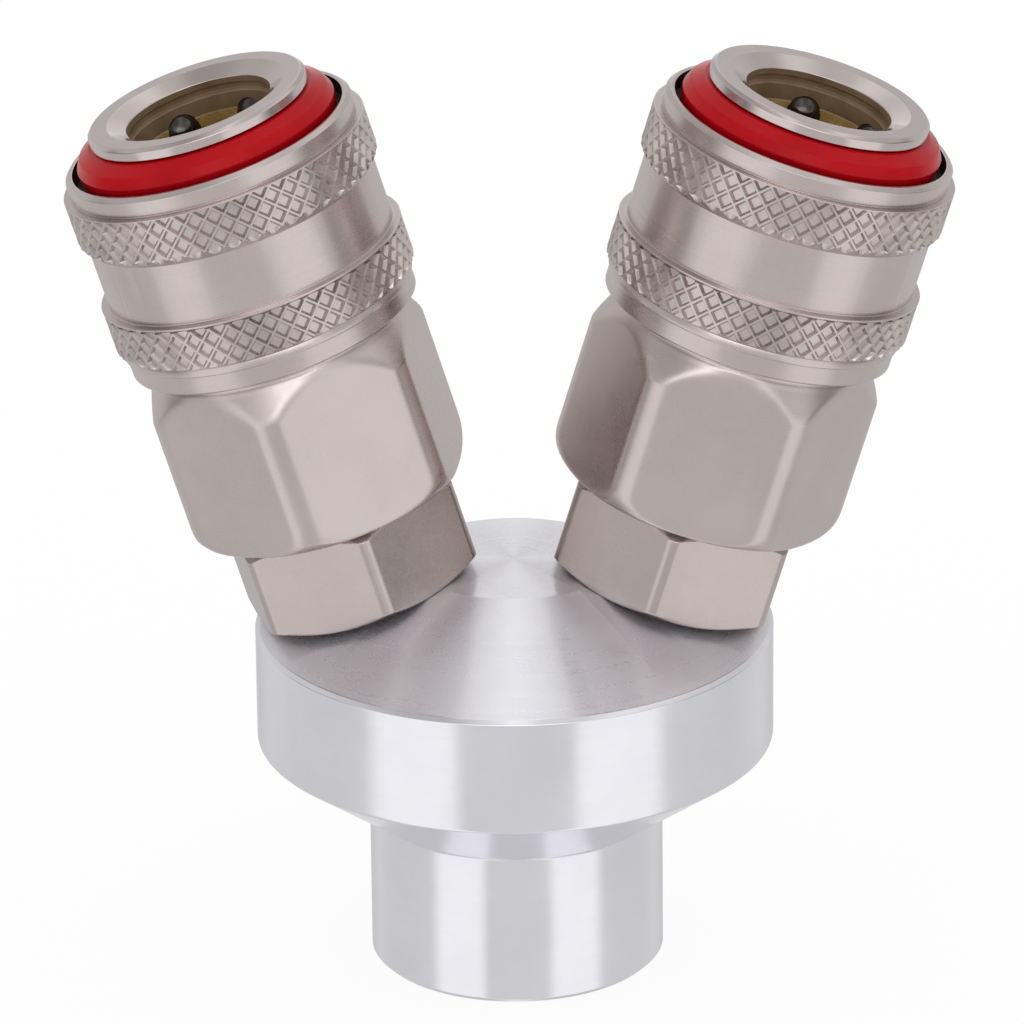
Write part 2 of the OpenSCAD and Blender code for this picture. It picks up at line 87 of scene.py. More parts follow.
MANIFOLD_COLUMNS = 256

# Adapter, whose hexagon reaches down to HEX_HEM in the manifold's recess
ADAPTER_HEX = 19.0
ADAPTER_TOP = 8.0
ADAPTER_EDGE = 0.7
ADAPTER_TURN = {"left": 43.4, "right": 21.3}
HEX_HEM = -0.65
TAIL_R = 6.5
TAIL_END = -10.7
COLLAR_R = 7.4
COLLAR_S = -0.4
AIR_R = 3.4
SPIGOT_R = 7.9
SPIGOT_END = 14.0
SPRING_SEAT = 2
SPRING_SEAT_R = 4.4
HEX_CHAMFER = 0.15
HEX_SOFTNESS = 0.12
SPIGOT_RIDGES = 8
SPIGOT_PITCH = 0.6
SPIGOT_RIDGE_DEPTH = 0.35
TAIL_RIDGES = 11
TAIL_PITCH = 0.72
TAIL_RIDGE_DEPTH = 0.4

# Hexagonal body
BODY_HEX = 23.0
BODY_EDGE = 2.3
BODY_TURN = {"left": 22.2, "right": 54.7}
BODY_TOP = 26.491
BODY_CONE_S = 20.6
CONE_SLOPE = 0.54
CORNER_R = 12.923
FOOT_R = 2.6
NECK_R = 11.2
NECK_S = 23.791
BODY_BORE_S = 20.3
CHAMBER_R = 6.5
CHAMBER_S = 14.3
EDGE_SOFTNESS = 0.4
NECK_SOFTNESS = 0.35
FOOT_SHARE = 0.75
SIDE_ROWS_END = 19.2
CONE_ROWS_START = 19.4

# Nose tube, red ring and balls
TUBE_R = 8.95
TUBE_REAR = 20.291
FLANGE_R = 9.7
FLANGE_S = 44.891
NOSE_S = 46.091
MOUTH_R = 6.4
BORE_R = 6.25
GOLD_R = 6.15
GOLD_TOP = 42.5
GUIDE_R = 6.05
GUIDE_TOP = 39.19
GUIDE_END = 34.29
TIP_R = 5.6
GROOVE_R = 7.0
GROOVE_TOP = 33.09
GROOVE_END = 31.29
PLUG_STOP = 30.191
STOP_R = 5.0
VALVE_SEAT_TOP = 28.86
VALVE_SEAT_END = 26.66
CHAMBER_WALL_R = 7.2
RING_R = 11.5
RING_S = 43.641
RING_LOW = 41.89
SKIRT_T = 0.55
BALL_S = 41.591
BALL_COUNT = 6
BALL_TURN = {"left": 54.3, "right": 30.7}
BALL_SEAT_R = 1.27
BALL_HOLE_R = 1.86
BALL_SEAT_SPAN = (5.55, 6.57)
BALL_HOLE_SPAN = (6.5, 10.0)
NOSE_OUTSIDE_R = 6.9
NOSE_BACK_S = 22
TUBE_COLUMNS = 192

# Sleeve
SLEEVE_R = 12.75
KNURL_R = 13.4
SLEEVE_REAR = 24.399
SLEEVE_LIP = 42.941
LIP_EDGE = 0.35
LIP_IN_R = 12.05
LIP_FLOOR = 41.49
RECESS_FROM_S = 41.3
INNER_COLLAR_R = 10.8
INNER_COLLAR_S = 43.59
RELIEF_R = 9.91
RAMP_END = 42.67
LAND_R = 9.03
LAND_END = 41.69
LAND_S = 39.04
POCKET_R = 11.28
REAR_BEVEL_R = 12.4
REAR_BEVEL_S = 26.47
SHOULDER_S = 26.1
FRONT_STEP_S = 41.15
SLEEVE_COLUMNS = 256

# Knurl as in the photograph: crossed ridges, with a ring of crossings at each NODES height
KNURL_CELLS = 48
KNURL_HIGH = 1.8
KNURL_DEPTH = 0.32
RIDGE_TOP = 0.07
RIDGE_FOOT = 0.2
REAR_NODES = 30.5
REAR_EDGE = (26.75, 30.6)
REAR_FADE = 27.2
FRONT_NODES = 41.0
FRONT_EDGE = (36.6, 41.02)
FRONT_FADE = 37.35
KNURL_PHASE = {"left": (-1.0, 0.1), "right": (0.0, 0.1)}

# Studio as the metal sees it: (place, brightness), by azimuth from the camera, height or x of a direction
AROUND = [
    (0.0, 0.67), (0.13, 0.67), (0.165, 0.98), (0.35, 0.98), (0.40, 0.66), (0.64, 0.64),
    (0.78, 0.68), (0.90, 0.58), (0.94, 0.60), (0.985, 0.88), (1.0, 0.88),
]
ABOVE_CAMERA = [(0.0, 1.0), (0.14, 1.0), (0.28, 0.55), (0.6, 0.62), (0.90, 0.58), (0.985, 0.88)]
OVERHEAD = [
    (0.0, 0.55), (0.3, 0.45), (0.42, 0.7), (0.5, 1.0), (0.58, 0.72), (0.66, 0.68), (0.8, 0.95), (1.0, 0.8),
]
TO_ABOVE = [(0.12, 0.0), (0.4, 1.0)]
TO_OVERHEAD = [(0.55, 0.0), (0.8, 1.0)]
KEY_AZIMUTH = [(0.0, 1.0), (0.1, 1.0), (0.17, 0.0)]
KEY_HEIGHT = [(0.28, 0.0), (0.42, 1.0), (0.62, 1.0), (0.74, 0.0)]
SIDE_AZIMUTH = [(0.38, 0.0), (0.46, 1.0), (0.6, 1.0), (0.68, 0.0)]
SIDE_HEIGHT = [(0.36, 0.0), (0.43, 1.0), (0.6, 1.0), (0.68, 0.0)]
KEY_GAIN = 0.9
SIDE_LOSS = -0.6

# Camera, fitted to the photograph
CAMERA_ELEVATION = math.radians(22.2446)
CAMERA_SWING = math.radians(-0.4149)
CAMERA_ROLL = math.radians(-0.6332)
CAMERA_REACH = 763.934
CAMERA_AIM_Z = 40
LENS = 310.73
SENSOR = 36
SHIFT_X = -0.00115
SHIFT_Y = 0.00943

FLOOR_REACH = 1500
FLOOR_WHITE = 0.985
FLOOR_GLOW = 0.9


def outlet(side):
    """Place and lean of a coupler's axis, with its zero on the manifold's seat."""
    seat = Matrix.Translation((SIDES[side] * SEAT_X * MM, 0, SEAT_Z * MM))
    return seat @ Matrix.Rotation(SIDES[side] * TILT, 4, "Y")


# Mesh helpers
def link_object(name, mesh, matrix=None):
    obj = bpy.data.objects.new(name, mesh)
    bpy.context.scene.collection.objects.link(obj)
    if matrix is not None:
        obj.matrix_world = matrix
    return obj


def new_object(name, verts, faces, matrix=None):
    mesh = bpy.data.meshes.new(name)
    mesh.from_pydata((np.asarray(verts, float) * MM).tolist(), [], faces)
    mesh.validate()
    mesh.polygons.foreach_set("use_smooth", [True] * len(mesh.polygons))
    mesh.update()
    return link_object(name, mesh, matrix)


def rounded(points, closed=True, steps=3):
    """Profile points (r, s, fillet) with each corner rounded, and a support point on each side of it."""
    out = []
    count = len(points)
    for i, (r, s, fillet) in enumerate(points):
        corner = Vector((r, s))
        if fillet <= 0 or (not closed and i in (0, count - 1)):
            out.append((r, s))
            continue
        back = Vector(points[i - 1][:2]) - corner
        ahead = Vector(points[(i + 1) % count][:2]) - corner
        back_length = back.length
        ahead_length = ahead.length
        back.normalize()
        ahead.normalize()
        angle = back.angle(ahead)
        shorter = min(FILLET_SHARE * back_length, FILLET_SHARE * ahead_length)
        reach = min(fillet / math.tan(angle / 2), shorter)
        radius = reach * math.tan(angle / 2)
        centre = corner + (back + ahead).normalized() * (radius / math.sin(angle / 2))
        start = corner + back * reach
        end = corner + ahead * reach
        out.append(tuple(start + back * min(SUPPORT, 0.5 * (0.5 * back_length - reach))))
        spoke = start - centre
        turn = spoke.angle_signed(end - centre)
        for k in range(steps + 1):
            c = math.cos(-turn * k / steps)
            q = math.sin(-turn * k / steps)
            out.append((centre.x + spoke.x * c - spoke.y * q, centre.y + spoke.x * q + spoke.y * c))
        out.append(tuple(end + ahead * min(SUPPORT, 0.5 * (0.5 * ahead_length - reach))))
    return out


def even_angles(count):
    return np.arange(count) * FULL_TURN / count


def skin(name, angles, rows, matrix=None):
    """Closed skin from rows of (radius or radii, height), up the outside and down the inside."""
    count = len(angles)
    verts = []
    faces = []
    for radii, height in rows:
        verts.append(np.stack([radii * np.cos(angles), radii * np.sin(angles), np.full(count, height)], -1))
    for i in range(len(rows)):
        j = (i + 1) % len(rows)
        for k in range(count):
            m = (k + 1) % count
            faces.append((i * count + k, i * count + m, j * count + m, j * count + k))
    return new_object(name, np.concatenate(verts), faces, matrix)


def circle_point(r, s, k, count):
    """Point k of count on a circle about the axis."""
    angle = FULL_TURN * k / count
    return Vector((r * math.cos(angle), r * math.sin(angle), s))


def rod_mesh(bm, matrix, low_r, high_r, low_s, high_s, count):
    """Adds a closed cone or cylinder between two heights to a bmesh."""
    rings = []
    for r, s in ((low_r, low_s), (high_r, high_s)):
        points = [matrix @ (circle_point(r, s, k, count) * MM) for k in range(count)]
        rings.append([bm.verts.new(point) for point in points])
    low, high = rings
    for k in range(count):
        m = (k + 1) % count
        bm.faces.new((low[k], low[m], high[m], high[k]))
    bm.faces.new(low[::-1])
    bm.faces.new(high)


def cut(obj, make):
    """Cuts the closed shapes that make(bm) adds, in the shared frame, out of an object."""
    bm = bmesh.new()
    make(bm)
    mesh = bpy.data.meshes.new("cutter")
    bm.to_mesh(mesh)
    bm.free()
    cutter = link_object("cutter", mesh)
    modifier = obj.modifiers.new("cut", "BOOLEAN")
    modifier.operation = "DIFFERENCE"
    modifier.solver = "EXACT"
    modifier.object = cutter
    modifier.use_self = True
    bpy.context.view_layer.update()
    evaluated = obj.evaluated_get(bpy.context.evaluated_depsgraph_get())
    done = bpy.data.meshes.new_from_object(evaluated)
    obj.modifiers.clear()
    obj.data = done
    bpy.data.objects.remove(cutter)
    done.polygons.foreach_set("use_smooth", [True] * len(done.polygons))
    done.set_sharp_from_angle(angle=CUT_CREASE)


def finish_piece(obj, body, nodes, materials, pick=None):
    """Gives a piece its materials and its body, and hides the CAD nodes that it stands for."""
    obj.data.materials.clear()
    for m in materials:
        obj.data.materials.append(m)
    if pick is not None:
        for poly in obj.data.polygons:
            c = poly.center / MM
            poly.material_index = pick(math.hypot(c.x, c.y), c.z)
    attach(obj, body)
    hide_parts(*nodes)


# Materials
class Nodes:
    """Small helper that adds and links shader nodes."""

    def __init__(self, tree):
        self.tree = tree

    def add(self, kind, **values):
        node = self.tree.nodes.new(kind)
        for key, value in values.items():
            setattr(node, key, value)
        return node

    def put(self, socket, value):
        if isinstance(value, bpy.types.NodeSocket):
            self.tree.links.new(value, socket)
        elif value is not None:
            socket.default_value = value

    def math(self, operation, a, b=None, c=None):
        node = self.add("ShaderNodeMath", operation=operation)
        for socket, value in zip(node.inputs, (a, b, c)):
            self.put(socket, value)
        return node.outputs[0]

    def ramp(self, value, stops, mode="EASE"):
        """Grey ramp through (place, brightness) stops."""
        node = self.add("ShaderNodeValToRGB")
        node.color_ramp.interpolation = mode
        while len(node.color_ramp.elements) < len(stops):
            node.color_ramp.elements.new(0.5)
        for element, (place, grey) in zip(node.color_ramp.elements, stops):
            element.position = place
            element.color = (grey, grey, grey, 1)
        self.put(node.inputs[0], value)
        return node.outputs[0]

    def spread(self, value, low, high, to_low, to_high):
        node = self.add("ShaderNodeMapRange")
        for socket, number in zip(node.inputs[:5], (value, low, high, to_low, to_high)):
            self.put(socket, number)
        return node.outputs[0]

    def noise(self, vector, scale, detail, rough, dims="3D"):
        node = self.add("ShaderNodeTexNoise", noise_dimensions=dims)
        self.put(node.inputs["Vector"], vector)
        self.put(node.inputs["Scale"], scale)
        self.put(node.inputs["Detail"], detail)
        self.put(node.inputs["Roughness"], rough)
        return node.outputs[0]

    def mix(self, factor, a, b):
        node = self.add("ShaderNodeMix", data_type="RGBA")
        self.put(node.inputs[0], factor)
        self.put(node.inputs[6], a)
        self.put(node.inputs[7], b)
        return node.outputs[2]

    def bump(self, height, strength, distance, normal=None):
        node = self.add("ShaderNodeBump")
        self.put(node.inputs["Strength"], strength)
        self.put(node.inputs["Distance"], distance)
        self.put(node.inputs["Height"], height)
        self.put(node.inputs["Normal"], normal)
        return node.outputs[0]


def material(name):
    mat = bpy.data.materials.new(name)
    mat.use_nodes = True
    return mat, Nodes(mat.node_tree), mat.node_tree.nodes["Principled BSDF"].inputs


def object_coords(nodes):
    return nodes.add("ShaderNodeTexCoord").outputs["Object"]


def turned_coords(nodes, coords):
    """(radius, height) of a point about its own Z axis, for lines that run round."""
    parts = nodes.add("ShaderNodeSeparateXYZ")
    nodes.put(parts.inputs[0], coords)
    x, y, z = parts.outputs
    radius = nodes.math("SQRT", nodes.math("ADD", nodes.math("MULTIPLY", x, x), nodes.math("MULTIPLY", y, y)))
    join = nodes.add("ShaderNodeCombineXYZ")
    nodes.put(join.inputs[0], radius)
    nodes.put(join.inputs[1], z)
    return join.outputs[0]


def brighter(colour, factor):
    return (*[min(1, value * factor) for value in colour], 1)


def metal(name, light, dark, rough, peel=0.0, lines=0.0, anisotropy=0.0, worn=0.0, patch=140, metallic=1.0):
    """Plated or bare metal: patchy tone and gloss, cast skin (peel), turning lines, worn bright edges."""
    mat, nodes, inputs = material(name)
    coords = object_coords(nodes)
    patches = nodes.noise(coords, patch, 4, 0.55)
    colour = nodes.mix(nodes.spread(patches, 0.35, 0.65, 0, 1), (*dark, 1), (*light, 1))
    if worn:
        edge = nodes.spread(nodes.add("ShaderNodeNewGeometry").outputs["Pointiness"], 0.52, 0.6, 0, worn)
        colour = nodes.mix(edge, colour, brighter(light, 1.25))
    nodes.put(inputs["Base Color"], colour)
    inputs["Metallic"].default_value = metallic
    fine = nodes.noise(coords, 1500, 3, 0.6)
    patch_gloss = nodes.spread(patches, 0.3, 0.7, rough[0], rough[1])
    gloss = nodes.math("ADD", patch_gloss, nodes.spread(fine, 0.3, 0.7, -0.02, 0.02))
    normal = None
    if lines:
        rings = nodes.noise(turned_coords(nodes, coords), 2600, 2, 0.6, "2D")
        broad = nodes.noise(turned_coords(nodes, coords), 520, 2, 0.5, "2D")
        gloss = nodes.math("ADD", gloss, nodes.spread(rings, 0.3, 0.7, -0.03, 0.03))
        normal = nodes.bump(rings, lines, 0.00002)
        normal = nodes.bump(broad, lines * 0.6, 0.00003, normal)
    if peel:
        normal = nodes.bump(nodes.noise(coords, 900, 2, 0.5), peel, 0.00004, normal)
        normal = nodes.bump(fine, peel, 0.00001, normal)
    nodes.put(inputs["Roughness"], gloss)
    nodes.put(inputs["Normal"], normal)
    if anisotropy:
        inputs["Anisotropic"].default_value = anisotropy
        inputs["Anisotropic Rotation"].default_value = 0.25
        tangent = nodes.add("ShaderNodeTangent", direction_type="RADIAL", axis="Z")
        nodes.put(inputs["Tangent"], tangent.outputs[0])
    return mat


NICKEL_LIGHT = (0.655, 0.58, 0.563)
NICKEL_DARK = (0.61, 0.538, 0.522)
ALUMINIUM_LIGHT = (0.90, 0.89, 0.935)

aluminium = metal(
    "turned_aluminium", ALUMINIUM_LIGHT, (0.855, 0.845, 0.89), (0.15, 0.21), lines=0.25, anisotropy=0.55)
aluminium_faced = metal(
    "faced_aluminium", ALUMINIUM_LIGHT, (0.85, 0.84, 0.885), (0.28, 0.33), lines=0.02, anisotropy=0.9,
    metallic=0.8)
nickel_cast = metal("nickel_on_casting", NICKEL_LIGHT, NICKEL_DARK, (0.25, 0.32), peel=0.08, worn=0.35)
nickel_polished = metal(
    "nickel_polished", NICKEL_LIGHT, NICKEL_DARK, (0.12, 0.17), lines=0.12, anisotropy=0.3, worn=0.2)
# Near-black metal that paints the shade inside the sleeve's recess behind the lip; it is not the plating's
# own colour.
recess_painted_shade = metal("recess_painted_shade", (0.07, 0.065, 0.06), (0.045, 0.04, 0.038), (0.45, 0.55), peel=0.05)
nickel_turned = metal(
    "nickel_turned", NICKEL_LIGHT, NICKEL_DARK, (0.23, 0.29), lines=0.4, anisotropy=0.1, worn=0.2)
nickel_hex = metal(
    "nickel_milled", (0.59, 0.517, 0.503), (0.545, 0.477, 0.463), (0.23, 0.29), peel=0.03, worn=0.3)
nickel_knurl = metal(
    "nickel_knurled", (0.66, 0.59, 0.57), (0.54, 0.48, 0.46), (0.22, 0.32), peel=0.05, patch=420)
bore_bronze = metal(
    "bore_bronze", (0.34, 0.24, 0.15), (0.22, 0.15, 0.09), (0.30, 0.42), lines=0.4, patch=260, metallic=0.45)
bore_brass = metal(
    "bore_brass", (0.82, 0.60, 0.24), (0.58, 0.41, 0.15), (0.24, 0.36), lines=0.8, patch=320, metallic=0.6)
valve_brass = metal(
    "valve_brass", (0.72, 0.55, 0.25), (0.60, 0.45, 0.20), (0.24, 0.34), lines=0.3, patch=260)
spring_steel = metal(
    "spring_steel", (0.55, 0.55, 0.57), (0.45, 0.45, 0.47), (0.28, 0.38), peel=0.1, patch=500)
# Lock balls near-black: painted shade for the dark holes in the bore, far darker than the steel's own colour.
ball_steel = metal(
    "ball_steel", (0.11, 0.105, 0.10), (0.07, 0.067, 0.065), (0.05, 0.09), peel=0.02, patch=900)


def red_plastic():
    mat, nodes, inputs = material("red_plastic_gloss")
    coords = object_coords(nodes)
    tone = nodes.spread(nodes.noise(coords, 160, 3, 0.5), 0.35, 0.65, 0, 1)
    nodes.put(inputs["Base Color"], nodes.mix(tone, (0.39, 0.002, 0.006, 1), (0.45, 0.003, 0.008, 1)))
    nodes.put(inputs["Roughness"], nodes.spread(nodes.noise(coords, 700, 3, 0.6), 0.3, 0.7, 0.16, 0.26))
    nodes.put(inputs["Normal"], nodes.bump(nodes.noise(coords, 1300, 2, 0.5), 0.05, 0.00003))
    inputs["Specular IOR Level"].default_value = 0.13
    return mat


def rubber():
    mat, nodes, inputs = material("black_rubber_moulded")
    coords = object_coords(nodes)
    tone = nodes.noise(coords, 300, 3, 0.5)
    nodes.put(inputs["Base Color"], nodes.mix(tone, (0.012, 0.012, 0.012, 1), (0.03, 0.029, 0.028, 1)))
    nodes.put(inputs["Roughness"], nodes.spread(nodes.noise(coords, 900, 3, 0.6), 0.3, 0.7, 0.5, 0.7))
    nodes.put(inputs["Normal"], nodes.bump(nodes.noise(coords, 2500, 2, 0.5), 0.2, 0.00003))
    return mat


ring_red = red_plastic()
seal_rubber = rubber()


# Manifold
def inlet_rows(angles):
    """Rows of the inlet's wall with its thread, from the hole's end down to the stem's lower face."""
    turns = np.arange(len(angles)) / len(angles)
    top = INLET_DEPTH - THREAD_RUNOUT
    thread = []
    for s in np.arange(INLET_SINK + THREAD_STEP, top, THREAD_STEP):
        wave = np.abs(((s / THREAD_PITCH - turns) % 1.0) - 0.5) * 2
        depth = np.clip((wave - THREAD_FLAT) / THREAD_FLANK, 0, 1) * THREAD_DEPTH
        fade = min(1, (s - INLET_SINK) / THREAD_FADE_IN, (top - s) / THREAD_FADE_OUT)
        thread.append((INLET_R + depth * fade, s))
    end = [
        (CENTRE_R, INLET_DEPTH), (INLET_R - 0.02, INLET_DEPTH), (INLET_R, INLET_DEPTH - 0.1), (INLET_R, top),
    ]
    mouth = [(INLET_R + INLET_SINK - 0.08, 0.08), (INLET_R + INLET_SINK, 0.0)]
    return end + thread[::-1] + mouth


def close_ends(obj, upper_row, count):
    """Closes the crown and the inlet's end with fans, instead of the tube that joins them."""
    bm = bmesh.new()
    bm.from_mesh(obj.data)
    bm.verts.ensure_lookup_table()
    crown = [bm.verts[upper_row * count + k] for k in range(count)]
    inlet = [bm.verts[(upper_row + 1) * count + k] for k in range(count)]
    in_crown = set(crown)
    in_inlet = set(inlet)
    gone = [
        face for face in bm.faces
        if sum(v in in_crown for v in face.verts) == 2 and sum(v in in_inlet for v in face.verts) == 2
    ]
    bmesh.ops.delete(bm, geom=gone, context="FACES_ONLY")
    for ring, height in ((crown, CROWN_TOP), (inlet, INLET_DEPTH)):
        centre = bm.verts.new((0, 0, height * MM))
        for k in range(count):
            bm.faces.new((ring[k], ring[(k + 1) % count], centre))
    bmesh.ops.recalc_face_normals(bm, faces=bm.faces)
    bm.to_mesh(obj.data)
    bm.free()


def outlet_cuts(bm):
    """Spot face, recess, port and air passage of each outlet."""
    for side in SIDES:
        place = outlet(side)
        rod_mesh(bm, place, SPOT_R, SPOT_R, SPOT_S, CUT_TOP_S, 96)
        rod_mesh(bm, place, RECESS_R, RECESS_R, HEX_HEM - 0.01, CUT_TOP_S, 96)
        rod_mesh(bm, place, PORT_R, PORT_R, PORT_S, SPOT_S + CUT_OVERLAP, 64)
        rod_mesh(bm, place, PASSAGE_R, PASSAGE_R, PASSAGE_S, PORT_S + CUT_OVERLAP, 48)


def make_manifold():
    angles = even_angles(MANIFOLD_COLUMNS)
    outside = rounded([
        (INLET_R + INLET_SINK, 0, 0.06), (STEM_R - STEM_EDGE, 0, 0.08), (STEM_R, STEM_EDGE, 0.1),
        (STEM_R, STEM_TOP, 0.25), (BAND_R, BAND_FOOT, 0.35), (BAND_R, BAND_TOP - BAND_EDGE, 0.1),
        (BAND_R - BAND_EDGE, BAND_TOP + 0.05, 0.1), (CROWN_R, CROWN_TOP, 0.15), (CENTRE_R, CROWN_TOP, 0),
    ], closed=False)[1:]
    obj = skin("manifold", angles, outside + inlet_rows(angles))
    close_ends(obj, len(outside) - 1, len(angles))
    cut(obj, outlet_cuts)
    finish_piece(obj, "root", ["manifold_body"], [aluminium, aluminium_faced],
                 lambda r, s: 1 if s > BAND_TOP and r < BAND_R - 0.5 else 0)


# Hexagons
def smooth_min(a, b, k):
    h = np.clip(0.5 + 0.5 * (b - a) / k, 0, 1)
    return b * (1 - h) + a * h - k * h * (1 - h)


def corner_angles(angles, turn):
    """Angles from the nearest corner of a hexagon: 0 at a corner and 30 degrees in the middle of a flat."""
    return (angles - math.radians(turn) + math.pi / 6) % (math.pi / 3) - math.pi / 6


def round_hexagon(angles, turn, flats, edge_r):
    """Distance from the axis to a hexagon's side, at each angle, with round corners."""
    local = corner_angles(angles, turn)
    half = flats / 2
    flat = half / np.cos(math.pi / 6 - np.abs(local))
    reach = (half - edge_r) / math.cos(math.pi / 6)
    inside = np.maximum(edge_r ** 2 - (reach * np.sin(local)) ** 2, 0)
    arc = reach * np.cos(local) + np.sqrt(inside)
    tangent = math.pi / 6 - math.atan2(reach * 0.5, half)
    return np.where(np.abs(local) < tangent, arc, flat)


def cut_hexagon(angles, turn, flats, cut_w, soft):
    """Distance from the axis to a hexagon's side, at each angle, with corners cut flat."""
    local = corner_angles(angles, turn)
    half = flats / 2
    flat = half / np.cos(math.pi / 6 - np.abs(local))
    corner = half / math.cos(math.pi / 6) - cut_w / 2 * math.tan(math.pi / 6)
    return smooth_min(flat, corner / np.cos(local), soft)


def crowded_angles(turn, per_corner, per_flat, width):
    """Angles round the axis, close together near each corner of a hexagon."""
    out = []
    for corner in range(6):
        mid = turn + 60 * corner
        out += list(np.linspace(mid - width, mid + width, per_corner, endpoint=False))
        out += list(np.linspace(mid + width, mid + 60 - width, per_flat, endpoint=False))
    return np.radians(np.array(out))


def body_turned_r(s):
    """Radius of the body's turned outline: a round foot, a straight part and the cone."""
    foot_in = CORNER_R - FOOT_R * FOOT_SHARE
    if s < ADAPTER_TOP + FOOT_R:
        angle = math.acos(max(-1, min(1, 1 - (s - ADAPTER_TOP) / FOOT_R)))
        return foot_in + (CORNER_R - foot_in) * math.sin(angle)
    if s < BODY_CONE_S:
        return CORNER_R
    return CORNER_R - CONE_SLOPE * (s - BODY_CONE_S)


def body_row(hexa, s):
    """Radii of the casting at one height: the hexagon cut by the turned outline, and at least the neck."""
    turned = np.full(len(hexa), body_turned_r(s))
    neck = np.full(len(hexa), NECK_R)
    outer = smooth_min(hexa, turned, EDGE_SOFTNESS)
    if s > BODY_CONE_S:
        outer = -smooth_min(-outer, -neck, NECK_SOFTNESS)
        outer = np.minimum(outer, np.maximum(turned, neck) + 0.02)
    return outer


def make_hex_body(side):
    angles = crowded_angles(BODY_TURN[side], per_corner=16, per_flat=20, width=9)
    hexa = round_hexagon(angles, BODY_TURN[side], BODY_HEX, BODY_EDGE)
    heights = np.concatenate([
        ADAPTER_TOP + FOOT_R * (1 - np.cos(np.linspace(0.06, math.pi / 2, 14))),
        np.linspace(ADAPTER_TOP + FOOT_R + 0.3, SIDE_ROWS_END, 14),
        np.linspace(CONE_ROWS_START, NECK_S + 0.3, 40),
    ])
    rows = [(body_row(hexa, s), s) for s in heights]
    foot = rows[0][0] - 0.12
    rows += [
        (NECK_R, NECK_S + 0.6), (NECK_R, BODY_TOP - 0.34), (NECK_R - 0.04, BODY_TOP - 0.28),
        (NECK_R - 0.26, BODY_TOP - 0.04), (NECK_R - 0.34, BODY_TOP), (TUBE_R + 0.1, BODY_TOP),
        (TUBE_R + 0.06, BODY_TOP - 0.05), (TUBE_R + 0.06, BODY_BORE_S), (CHAMBER_R, BODY_BORE_S),
        (CHAMBER_R, CHAMBER_S), (SPIGOT_R + 0.05, CHAMBER_S), (SPIGOT_R + 0.05, ADAPTER_TOP + 0.2),
        (SPIGOT_R + 0.2, ADAPTER_TOP), (foot, ADAPTER_TOP),
    ]
    obj = skin(side + "_hex_casting", angles, rows, outlet(side))
    obj.data.set_sharp_from_angle(angle=FORM_CREASE)
    finish_piece(obj, "root", [side + "_hex_body"], [nickel_cast, nickel_turned],
                 lambda r, s: 1 if s > NECK_S + 0.1 or r < NECK_R - 1.5 else 0)


def ridges(outer_r, depth, from_s, pitch, count):
    """Rows of a thread drawn as rings, each odd row at its root."""
    return [(outer_r - (depth if k % 2 else 0), from_s + pitch * k) for k in range(1, count + 1)]


def make_adapter(side):
    turn = ADAPTER_TURN[side]
    angles = crowded_angles(turn, per_corner=20, per_flat=16, width=5)
    hexa = cut_hexagon(angles, turn, ADAPTER_HEX, ADAPTER_EDGE, HEX_SOFTNESS)
    corner_r = ADAPTER_HEX / 2 / math.cos(math.pi / 6)
    chamfer_r = ADAPTER_HEX / 2 - HEX_CHAMFER
    drop = (corner_r - chamfer_r) * math.tan(math.pi / 6)
    heights = np.concatenate([
        np.linspace(HEX_HEM + 0.02, HEX_HEM + 1.1, 20),
        np.linspace(1.0, ADAPTER_TOP - 1.4, 6),
        np.linspace(ADAPTER_TOP - 1.1, ADAPTER_TOP - 0.02, 20),
    ])
    rows = []
    for s in heights:
        edge = min(s - HEX_HEM, ADAPTER_TOP - s)
        turned = chamfer_r + (corner_r - chamfer_r) * edge / drop
        rows.append((smooth_min(hexa, np.full(len(angles), turned), HEX_SOFTNESS), s))
    rows += [(chamfer_r - 0.1, ADAPTER_TOP), (SPIGOT_R + 0.1, ADAPTER_TOP), (SPIGOT_R, ADAPTER_TOP + 0.1)]
    rows += ridges(SPIGOT_R, SPIGOT_RIDGE_DEPTH, ADAPTER_TOP + 0.3, SPIGOT_PITCH, SPIGOT_RIDGES)
    rows += [
        (SPIGOT_R - 0.4, SPIGOT_END), (SPRING_SEAT_R + 0.02, SPIGOT_END), (SPRING_SEAT_R, SPIGOT_END - 0.05),
        (SPRING_SEAT_R, SPIGOT_END - SPRING_SEAT), (AIR_R, SPIGOT_END - SPRING_SEAT),
        (AIR_R, TAIL_END + 0.02), (TAIL_R - 0.5, TAIL_END),
    ]
    rows += ridges(TAIL_R, TAIL_RIDGE_DEPTH, TAIL_END + 0.2, TAIL_PITCH, TAIL_RIDGES)
    rows += [
        (TAIL_R, COLLAR_S - 0.02), (COLLAR_R, COLLAR_S), (COLLAR_R, COLLAR_S + 0.05),
        (SPOT_R + 0.1, COLLAR_S + 0.05), (SPOT_R + 0.1, HEX_HEM), (chamfer_r - 0.1, HEX_HEM),
    ]
    obj = skin(side + "_adapter_hex", angles, rows, outlet(side))
    obj.data.set_sharp_from_angle(angle=FORM_CREASE)
    finish_piece(obj, "root", [side + "_adapter"], [nickel_hex])


# Sleeve
def ring_verts(bm, r, s):
    count = SLEEVE_COLUMNS
    return [bm.verts.new(circle_point(r, s, k, count)) for k in range(count)]


def vert_angle(vert):
    return math.atan2(vert.co.y, vert.co.x) % FULL_TURN


def ring_angles(ring):
    """Angles of a ring's vertices, with the first one again after a full turn."""
    angles = [vert_angle(v) for v in ring]
    return angles + [angles[0] + FULL_TURN]


